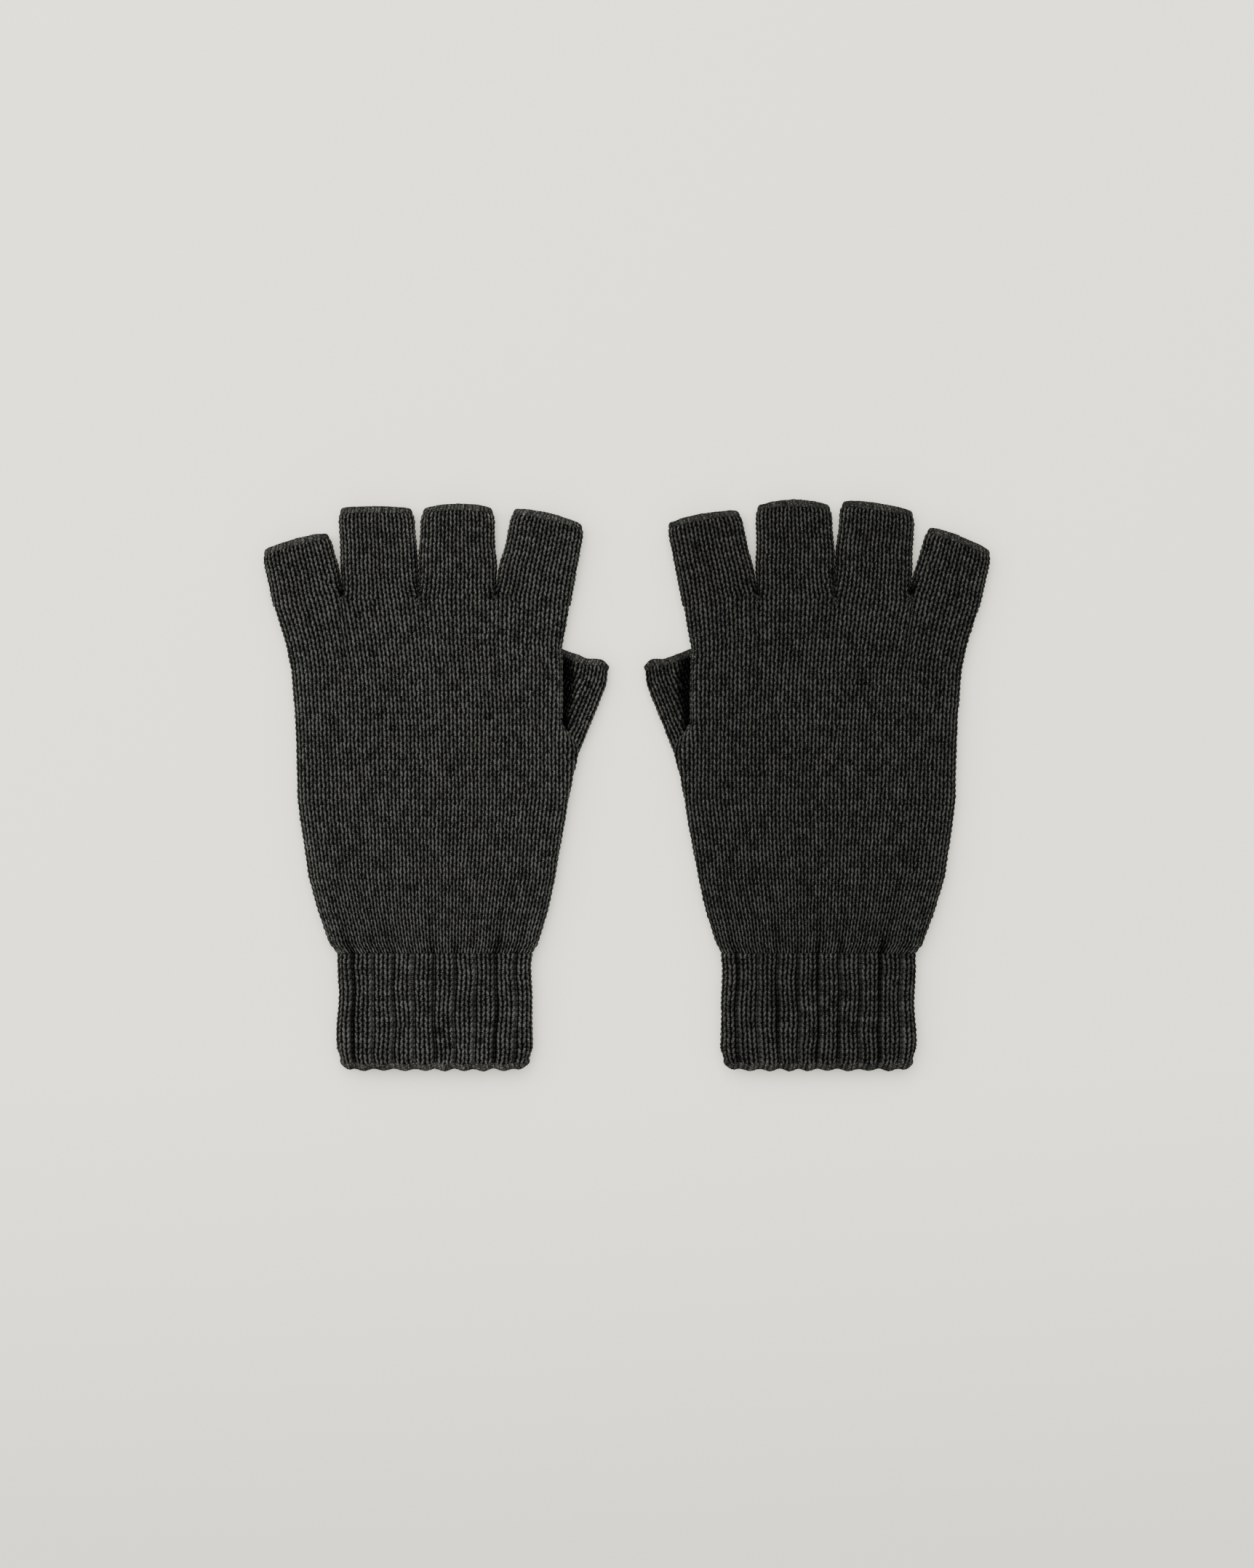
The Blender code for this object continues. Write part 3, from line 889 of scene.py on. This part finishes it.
    def make_cuff(self) -> None:
        """Knits the ribbed cuff and its cast-on edge."""
        size, knit = self.size, self.size.cuff_knit
        first = size.cast_on - 0.4  # the rib starts inside the cast-on edge
        lays = []
        for share in np.linspace(0, 1, knit.rows):
            up = (size.cuff_length - first) * share
            half = size.cuff_half - size.inset - rounded(1.1, up, 5.5)
            ends = np.array(((-half, first + up), (half, first + up)))
            lays.append(Lay(*ends, size.low, size.high, 5.0, 5.0))

        def folds(points: Array, places: Array) -> Array:
            """The ribs stand up and their valleys draw in, some more than others."""
            from_valley = np.abs(places - np.round(places))
            depth = size.rib_fold * self.fold_depth(places, points[..., 1])
            return depth * (1 - smooth(from_valley, 0.02, 0.22))

        def swell(points: Array) -> Array:
            """Lets the cuff lie loose, with its corners rounded and its ribs reaching a little lower."""
            x, y = points[..., 0], points[..., 1]
            low = 1 - smooth(y, size.cast_on, size.cast_on + 7)
            corner = smooth(np.abs(x), size.cuff_half - 7, size.cuff_half - 1.0) ** 2
            scallop = 0.35 * np.cos(2 * pi * (x / size.cuff_half * knit.ribs / 4))
            sway = np.sin(y / 6 + x / 8 + self.phase[7]) + 0.7 * np.sin(y / 3.4 - x / 5 + self.phase[3])
            points[..., 0] = x + 0.26 * sway * (1 - smooth(y, size.cuff_length - 6, size.cuff_length))
            points[..., 1] = y + low * (2.2 * corner + scallop)
            self.lay_loose(points, 0.7)
            return points

        skin, surface, normals = self.knitted(lays, knit, size.cuff_wall, swell, None, folds)
        # Painted shade in the valleys between the ribs
        skin.rise[: knit.rows] *= 1 - VALLEY_PAINTED_SHADE * folds(surface, skin.wale[: knit.rows, :-1])
        cuff = self.dress(skin, "cuff_rib", RIB, ("cuff",))
        self.spot((0, size.cuff_length), size.lie)
        self.spot((0, size.cuff_length - size.cuff_bend), size.lie)
        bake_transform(cuff)
        down = np.zeros_like(surface[0])
        down[:, 1] = -1.0
        links = (size.cast_on, size.cast_on_thick, knit.wales)
        edge = rolled_edge(surface[0], normals[0], down, *links, self.rng)
        cast_on = self.dress(edge, "cuff_cast_on", EDGE, ("cuff_edge",))
        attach(cast_on, self.node("cuff"))

    def hand_lays(self) -> list[Lay]:
        """How the hand lies at each mesh row, from the wrist to the knuckles."""
        size, knit = self.size, self.size.hand_knit
        lays = []
        for share in np.linspace(0, 1, knit.rows):
            y = size.cuff_length + size.hand_length * share
            left = size.inset - edge_at(size.little_edge, y)
            right = edge_at(size.thumb_edge, y) - size.inset
            middle = (left + edge_at(size.thumb_edge_smooth, y) - size.inset) / 2
            rounding = 5.0 + 3.5 * smooth(y, size.cuff_length, size.cuff_length + 14)
            tight = smooth(y, *size.tight[:2]) * (1 - smooth(y, *size.tight[2:]))
            lays.append(
                Lay(
                    np.array((left, y)),
                    np.array((right, y)),
                    size.low,
                    size.high,
                    rounding,
                    rounding - 5.3 * tight,
                    (middle - left) / (right - left),
                )
            )
        return lays

    def hand_pitch(self, lay: Lay) -> float:
        """The width of one wale of the hand at this lay, as if no thumb parted from it, in millimetres."""
        y = lay.left[1]
        right = np.array((edge_at(self.size.thumb_edge_smooth, y) - self.size.inset, y))
        even = Lay(lay.left, right, lay.low, lay.high, lay.round_left, lay.round_left)
        return float(lengths(even.outline())[-1] / self.size.hand_knit.wales)

    def make_hand(self) -> None:
        """Knits the hand in two bands that meet on a course, so that the hand stays one cloth."""
        size, knit = self.size, self.size.hand_knit
        lays = self.hand_lays()
        half = knit.wales / 2

        def spacing(number: int, outline: Array, places: Array) -> Array:
            """Wales run straight over the back, and the thumb's side takes up the difference under it."""
            total = lengths(outline)[-1]
            pitch = self.hand_pitch(lays[number])
            straight = half - size.side_wales
            under = total - pitch * half - straight * pitch
            turned = straight * pitch + (places - straight) / (half - straight) * under
            right = np.where(places < straight, places * pitch, turned)
            return np.where(places <= half, right, total - (knit.wales - places) * pitch)

        def shape(points: Array) -> Array:
            """Brings the last courses to the knuckle line, lifts the palm off the thumb, lets it lie."""
            x, y, z = points[..., 0], points[..., 1], points[..., 2]
            up = smooth(y, size.knuckle_y - 42, size.knuckle_y)
            lift = self.thumb_room(points) * (size.thumb_flat + 0.9)
            free = smooth(y, size.cuff_length, size.cuff_length + 16) * (1 - up)
            sway = np.sin(y / 10 + x / 17 + self.phase[7]) * np.sin(y / 23 + x / 9)
            points[..., 0] = x + 0.3 * free * sway
            points[..., 1] = y + self.knuckle_line(x) * up
            points[..., 2] = z + lift * np.clip(1 - z / (size.lie * 0.75), 0, 1)
            self.lay_loose(points)
            return points

        def folds(points: Array, places: Array) -> Array:
            """The ribs of the cuff run out into the hand."""
            rib = places / knit.wales * size.cuff_knit.ribs
            from_valley = np.abs(rib - np.round(rib))
            fade = np.exp(-(points[..., 1] - size.cuff_length) / size.rib_run)
            depth = 1.9 * fade * self.fold_depth(rib, points[..., 1])
            return depth * (1 - smooth(from_valley, 0.04, 0.3))

        skin, surface, normals = self.knitted(lays, knit, size.hand_wall, shape, spacing, folds)
        rows = knit.rows
        # Painted shade in the valleys of the ribs that run out into the hand
        skin.rise[:rows] *= 1 - VALLEY_PAINTED_SHADE * folds(surface, skin.wale[:rows, :-1])
        # Painted shade in the folds between the fingers
        skin.rise[:rows] *= 1 - CROTCH_PAINTED_SHADE * self.crotch_shade(surface)
        cut = (knit.courses // 2) * COURSE_STEPS
        outer, rises = skin.rings[:rows], skin.rise[:rows]
        places = skin.wale[:rows, :-1]
        for name, first, last in (("hand_lower", 0, cut), ("hand_upper", cut, rows - 1)):
            part = slice(first, last + 1)
            yarn = (outer[part], surface[part], normals[part])
            band = walled(*yarn, size.hand_wall, places[part], rises[part])
            band.course = band.course + first / COURSE_STEPS
            piece = self.dress(band, name, PLAIN, ("hand",))
            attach(piece, self.hand_body)

    def straight_edge(self, name: str, right: bool, share: float) -> Array:
        """The point this share of the way up the straight side of a finger, in plan."""
        finger = self.fingers[name]
        forward = heading(finger.lean)[0]
        slope = radians(finger.slope)
        ends = self.roots[name]
        turn = 1 if right else -1
        tip = (ends[0] + ends[1]) / 2 + forward * finger.length
        tip = tip + turn * np.array((cos(slope), sin(slope))) * finger.tip / 2
        return ends[right] + (tip - ends[right]) * share

    def side_of(self, name: str, right: bool, share: float) -> Array:
        """The point this share of the way up a finger's side, which lies against its neighbour's below
        the notch between them."""
        number = self.names.index(name)
        own = self.straight_edge(name, right, share)
        other = number + (1 if right else -1)
        if not 0 <= other < len(self.names):
            return own
        notch = self.fingers[self.names[min(number, other)]].notch
        foot, top = (self.straight_edge(self.names[other], not right, end) for end in (0.0, 1.0))
        facing_x = foot[0] + (top[0] - foot[0]) * (own[1] - foot[1]) / (top[1] - foot[1])
        middle = (own[0] + facing_x) / 2
        free = smooth(own[1], notch - 1.0, notch + 11.0)
        return np.array((middle + (own[0] - middle) * free, own[1]))

    def finger_edges(self, name: str, share: float) -> tuple[Array, Array]:
        """Left and right edge of a finger's surface in plan, this share of the way to its tip."""
        finger, size = self.fingers[name], self.size
        across = heading(finger.lean)[1]
        corner = rounded(2.2, (1 - share) * finger.length, 4.6)
        outer = size.inset + corner
        inner = max(size.inset * smooth(share, -0.05, 0.12) + corner, 0.35)
        left_inset = outer if name == self.names[0] else inner
        right_inset = outer if name == self.names[-1] else inner
        left, right = self.side_of(name, False, share), self.side_of(name, True, share)
        return left + across * left_inset, right - across * right_inset

    def crotch_shade(self, points: Array) -> Array:
        """How deep in the fold between two fingers each point lies, from 0 to 1, which sets the shade
        painted there.
        """
        x, y = points[..., 0], points[..., 1]
        deepest = np.zeros_like(x)
        for first, second in self.neighbours:
            foot = self.crotch(first, second)
            notch = self.fingers[first].notch
            lean = (self.fingers[first].lean + self.fingers[second].lean) / 2
            off = x - foot[0] - (y - foot[1]) * np.tan(radians(lean))
            along = smooth(y, foot[1] - 4.0, foot[1] + 1.0) * (1 - smooth(y, notch, notch + 7.0))
            deepest = np.maximum(deepest, along * np.exp(-((off / 1.5) ** 2)))
        return deepest

    def make_finger(self, name: str) -> None:
        """Knits a half finger and its bound-off rim."""
        size, finger = self.size, self.fingers[name]
        forward, across = heading(finger.lean)
        last = self.hand_lays()[-1]
        pitch = self.hand_pitch(last)
        hand_start = last.left[0] + last.start * (last.right[0] - last.left[0])
        end = 1 - (size.rim - 0.3) / finger.length
        left, right = self.finger_edges(name, 0)
        middle = (left[0] + right[0]) / 2
        seam_x = hand_start + round((middle - hand_start) / pitch) * pitch
        start = (seam_x - left[0]) / (right[0] - left[0])
        lays = []
        wales = round((2 * (right[0] - left[0]) + 1.45 * (size.lie - 2 * size.yarn)) / pitch)
        knit = Stitching(wales, max(9, round((finger.length - size.rim) / 1.8)), spread=0.95)
        for share in np.linspace(0, end, knit.rows):
            left, right = self.finger_edges(name, share)
            loose = smooth(share * finger.length, 0, 11)
            inner, outer = 1.3 + 4.2 * loose, 8.5 - 2.6 * loose
            flat = 1 - 0.06 * share
            lays.append(
                Lay(
                    left,
                    right,
                    size.low,
                    size.low + (size.high - size.low) * flat,
                    outer if name == self.names[0] else inner,
                    outer if name == self.names[-1] else inner,
                    start,
                )
            )

        def shape(points: Array) -> Array:
            """Starts the finger on the knuckle line, and lets it lie loose."""
            rows = np.arange(len(points)) / (len(points) - 1)
            line = self.knuckle_line(points[..., 0]) + size.knuckle_y
            low = (1 - smooth(rows, 0, 0.3))[:, None]
            points[..., 1] += (line - points[:1, :, 1]) * low
            out = (points[..., :2] - sum(self.roots[name]) / 2) @ across / (finger.tip / 2)
            rise = finger.arch * (0.35 - out**2) * smooth(rows, 0.45, 1.0)[:, None]
            points[..., :2] += rise[..., None] * forward
            self.lay_loose(points)
            return points

        skin, surface, normals = self.knitted(lays, knit, size.finger_wall, shape)
        # Painted shade in the folds between the fingers
        skin.rise[: knit.rows] *= 1 - CROTCH_PAINTED_SHADE * self.crotch_shade(surface)
        tube = self.dress(skin, f"{name}_tube", PLAIN, (name,))
        root = sum(self.roots[name]) / 2
        self.spot(root, size.lie)
        self.spot(root + forward * size.bend, size.lie)
        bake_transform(tube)
        off = surface[-1] - surface[-1 - COURSE_STEPS]
        off /= np.linalg.norm(off, axis=1, keepdims=True)
        links = (size.rim, size.rim_thick, knit.wales)
        edge = rolled_edge(surface[-1], normals[-1], off, *links, self.rng)
        rim = self.dress(edge, f"{name}_rim_chain", EDGE, (f"{name}_rim",))
        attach(rim, self.node(name))

    def make_thumb(self) -> None:
        """Knits the thumb, which lies flat under the hand and stands up beside it."""
        size = self.size
        root = np.array(size.thumb_root)
        forward, across = heading(size.thumb_lean)
        half = size.thumb_width / 2 - size.inset * 0.8
        knit = Stitching(20, 24, spread=0.95)
        first, last = -half + 0.4, size.thumb_length - size.rim + 0.3
        lays = []
        for distance in np.linspace(first, last, knit.rows):
            reach = half if distance > 0 else max(0.8, (half**2 - distance**2) ** 0.5)
            middle = root + forward * distance
            rounding = min(6.5, reach * 0.9)
            outer = reach + 1.3 - rounded(2.0, last + 0.8 - distance, 6.5)
            ends = (middle - across * reach, middle + across * outer)
            lays.append(Lay(*ends, size.low, size.thumb_height - size.yarn, rounding, rounding))

        def standing(points: Array) -> Array:
            """How far the thumb stands up at each point, from pressed flat at 0 to loose at 1."""
            x, y = points[..., 0], points[..., 1]
            edge = np.minimum(edge_at(size.thumb_edge, y), 47.0)
            return smooth(x - edge - edge_at(size.thumb_fold, y), -1.2, 1.8)

        def shape(points: Array) -> Array:
            """Presses the thumb flat where the hand lies on it, and a little way out beside it."""
            out = (points[..., :2] - root) @ across
            up = (points[..., :2] - root) @ forward
            free = standing(points)
            corner = smooth(out, 2.5, 8.5) * (1 - 0.85 * smooth(out, 8.5, half + 1.0))
            corner = corner * smooth(up, size.thumb_length - 12, size.thumb_length - 2)
            points[..., :2] += (1.6 * corner)[..., None] * forward
            pressed = (size.thumb_flat - size.yarn - size.low) / (size.thumb_height - size.yarn - size.low)
            share = pressed + (1 - pressed) * free
            points[..., 2] = size.low + (points[..., 2] - size.low) * share
            self.lay_loose(points, free)
            return points

        skin, surface, normals = self.knitted(lays, knit, size.thumb_wall, shape)
        # Painted shade on the thumb's top in the fold beside the hand's edge, where the hand's side shades
        # it
        on_top = smooth(normals[..., 2], 0.1, 0.5)
        beside = smooth(surface[..., 0], 41.5, 45.5)  # the painted shade lies in the fold beside the hand's edge, not under it
        skin.rise[: knit.rows] *= 1 - PRESSED_PAINTED_SHADE * on_top * beside * (1 - standing(surface))
        tube = self.dress(skin, "thumb_tube", PLAIN, ("thumb",))
        self.spot(root + forward, 0)
        self.spot(root + forward * size.bend, 0)
        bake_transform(tube)
        off = np.broadcast_to(np.array((*forward, 0.0)), surface[-1].shape)
        links = (size.rim, size.thumb_rim_thick, knit.wales)
        edge = rolled_edge(surface[-1], normals[-1], off, *links, self.rng)
        rim = self.dress(edge, "thumb_rim_chain", EDGE, ("thumb_rim",))
        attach(rim, self.node("thumb"))

    def strand(self, name: str, foot: Array, drop: float, lift: float, reach: float) -> bpy.types.Object:
        """Makes one short strand of joining yarn.

        Args:
            name: Its name.
            foot: The point in plan where the fingers part.
            drop: How far past the foot its middle lies, in millimetres.
            lift: How far its end on the thumb's side is past its middle.
            reach: Half its width.

        Returns:
            The object.
        """
        share = np.linspace(-1, 1, STRAND_STEPS)[:, None]
        turn = np.linspace(0, 2 * pi, STRAND_SIDES, endpoint=False)
        thick = 0.62 * np.maximum(0.15, 1 - share**4) ** 0.5
        x = foot[0] + reach * share + 0 * turn
        y = foot[1] + drop + lift * share + thick * np.cos(turn)
        z = self.size.lie - 0.9 - 0.9 * share**2 + thick * np.sin(turn)
        outside = np.stack((x, y, z), axis=-1)
        middle = outside.mean(axis=1, keepdims=True)
        core = middle + (outside - middle) * 0.08  # the skin closes on itself through a thin core
        rings = np.concatenate((outside, core[::-1]))
        wale = np.repeat(np.linspace(0, 1, STRAND_SIDES + 1)[None], len(rings), axis=0)
        course = np.arange(STRAND_STEPS)
        # Painted shade: the strand's top is painted lighter than its underside, and its hidden core as
        # deep shade
        rise = np.repeat((0.24 + 0.24 * np.sin(turn))[None], STRAND_STEPS, axis=0)
        skin = Skin(
            self.world(rings),
            wale,
            np.concatenate((course, course[::-1])) / 4,
            np.concatenate((rise, np.zeros_like(rise))),
        )
        return skin.mesh(name)

    def make_join(self, first: str, second: str) -> None:
        """Sews the crotch between two fingers with three short strands of yarn."""
        foot = self.crotch(first, second)
        strands = []
        bpy.ops.object.select_all(action="DESELECT")
        for number, lie in enumerate(STRANDS):
            strands.append(self.strand(f"{self.node('strand')}_{first}_{number}", foot, *lie))
            strands[-1].select_set(True)
        join = strands[0]
        bpy.context.view_layer.objects.active = join
        bpy.ops.object.join()
        join.name = self.node(f"{first}_{second}_stitches")
        join.data.materials.append(self.cloth[EDGE.slot])
        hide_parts(self.node(f"join_{first}_{second}"))
        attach(join, self.hand_body)
        LOG.info("%s: %d faces", join.name, len(join.data.polygons))

    def build(self) -> None:
        """Makes every section of the glove."""
        self.make_cuff()
        self.make_hand()
        for name in self.names:
            self.make_finger(name)
        for first, second in self.neighbours:
            self.make_join(first, second)
        self.make_thumb()


# ---------------------------------------------------------------- studio


@dataclass(frozen=True)
class Softbox:
    """One square soft light that faces the middle of the floor."""

    name: str
    spot: Point
    side: float
    power: float

    def hang(self) -> None:
        """Hangs it in its place."""
        lamp = bpy.data.lights.new(self.name, "AREA")
        lamp.shape = "SQUARE"
        lamp.size = self.side
        lamp.energy = self.power
        thing = bpy.data.objects.new(self.name, lamp)
        bpy.context.scene.collection.objects.link(thing)
        thing.location = self.spot
        x, y, z = self.spot
        thing.rotation_euler = (np.arctan2(hypot(x, y), z), 0, np.arctan2(x, -y))


@dataclass
class Studio:
    """A pale sweep under soft, even light, with the camera straight above."""

    camera_height: float = 1.319
    lens: float = 85.0
    floor_side: float = 6.0
    floor_colour: str = "#f7f4e4"
    painted_falloff_colour: str = "#dad7c9"  # painted shade where the sweep falls away from the light
    painted_falloff: tuple[float, float] = (-0.27, -0.10)  # from where to where the painted shade changes its colour, along y
    room_light: float = 1.19
    softboxes: tuple[Softbox, ...] = (
        Softbox("overhead softbox", (-0.25, 0.5, 1.8), 1.8, 54.0),
        Softbox("left softbox", (-1.5, 0.3, 1.1), 1.0, 10.0),
    )

    def make_floor(self) -> None:
        """Lays the pale floor, with shade painted onto it toward -y."""
        bpy.ops.object.select_all(action="DESELECT")
        bpy.ops.mesh.primitive_plane_add(size=self.floor_side, location=(0, 0, 0))
        floor = bpy.context.object
        floor.name = "studio_floor"
        material = bpy.data.materials.new("matt white paper sweep with painted shade")
        material.use_nodes = True
        shader = material.node_tree.nodes["Principled BSDF"]
        spot = add_node(material.node_tree, "TexCoord")
        place = add_node(material.node_tree, "SeparateXYZ", None, {0: spot.outputs["Object"]})
        # Painted shade: the paper darkens toward -y as if it fell away from the light
        share = WoolFinish.ramp(material.node_tree, place.outputs[1], *self.painted_falloff)
        paper = WoolFinish.mixed(material.node_tree, self.painted_falloff_colour, self.floor_colour, share)
        material.node_tree.links.new(paper, shader.inputs["Base Color"])
        shader.inputs["Roughness"].default_value = 0.9
        shader.inputs["Specular IOR Level"].default_value = 0.1
        floor.data.materials.append(material)

    def make_light(self) -> None:
        """Hangs a large soft light over the gloves, one softer from the left, and lights the room."""
        world = bpy.data.worlds.new("white studio")
        world.use_nodes = True
        background = world.node_tree.nodes["Background"]
        background.inputs["Color"].default_value = linear("#ffffff")
        background.inputs["Strength"].default_value = self.room_light
        bpy.context.scene.world = world
        for softbox in self.softboxes:
            softbox.hang()

    def make_camera(self) -> None:
        """Sets the camera straight above the pair."""
        data = bpy.data.cameras.new("camera")
        data.lens = self.lens
        data.sensor_width = 36.0
        camera = bpy.data.objects.new("camera", data)
        bpy.context.scene.collection.objects.link(camera)
        camera.location = (0, 0, self.camera_height)
        bpy.context.scene.camera = camera

    def build(self) -> None:
        """Makes the camera, the floor and the lights."""
        self.make_camera()
        self.make_floor()
        self.make_light()


def main() -> None:
    """Builds the studio and the pair."""
    logging.basicConfig(level=logging.INFO, format="%(name)s: %(message)s")
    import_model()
    Studio().build()
    Glove(Side.LEFT, LEFT_FINGERS, painted_light=1.0, seed=11).build()
    # The right glove is the same yarn, painted darker as shade
    Glove(Side.RIGHT, RIGHT_FINGERS, painted_light=0.74, seed=23).build()


if __name__ == "__main__":
    main()
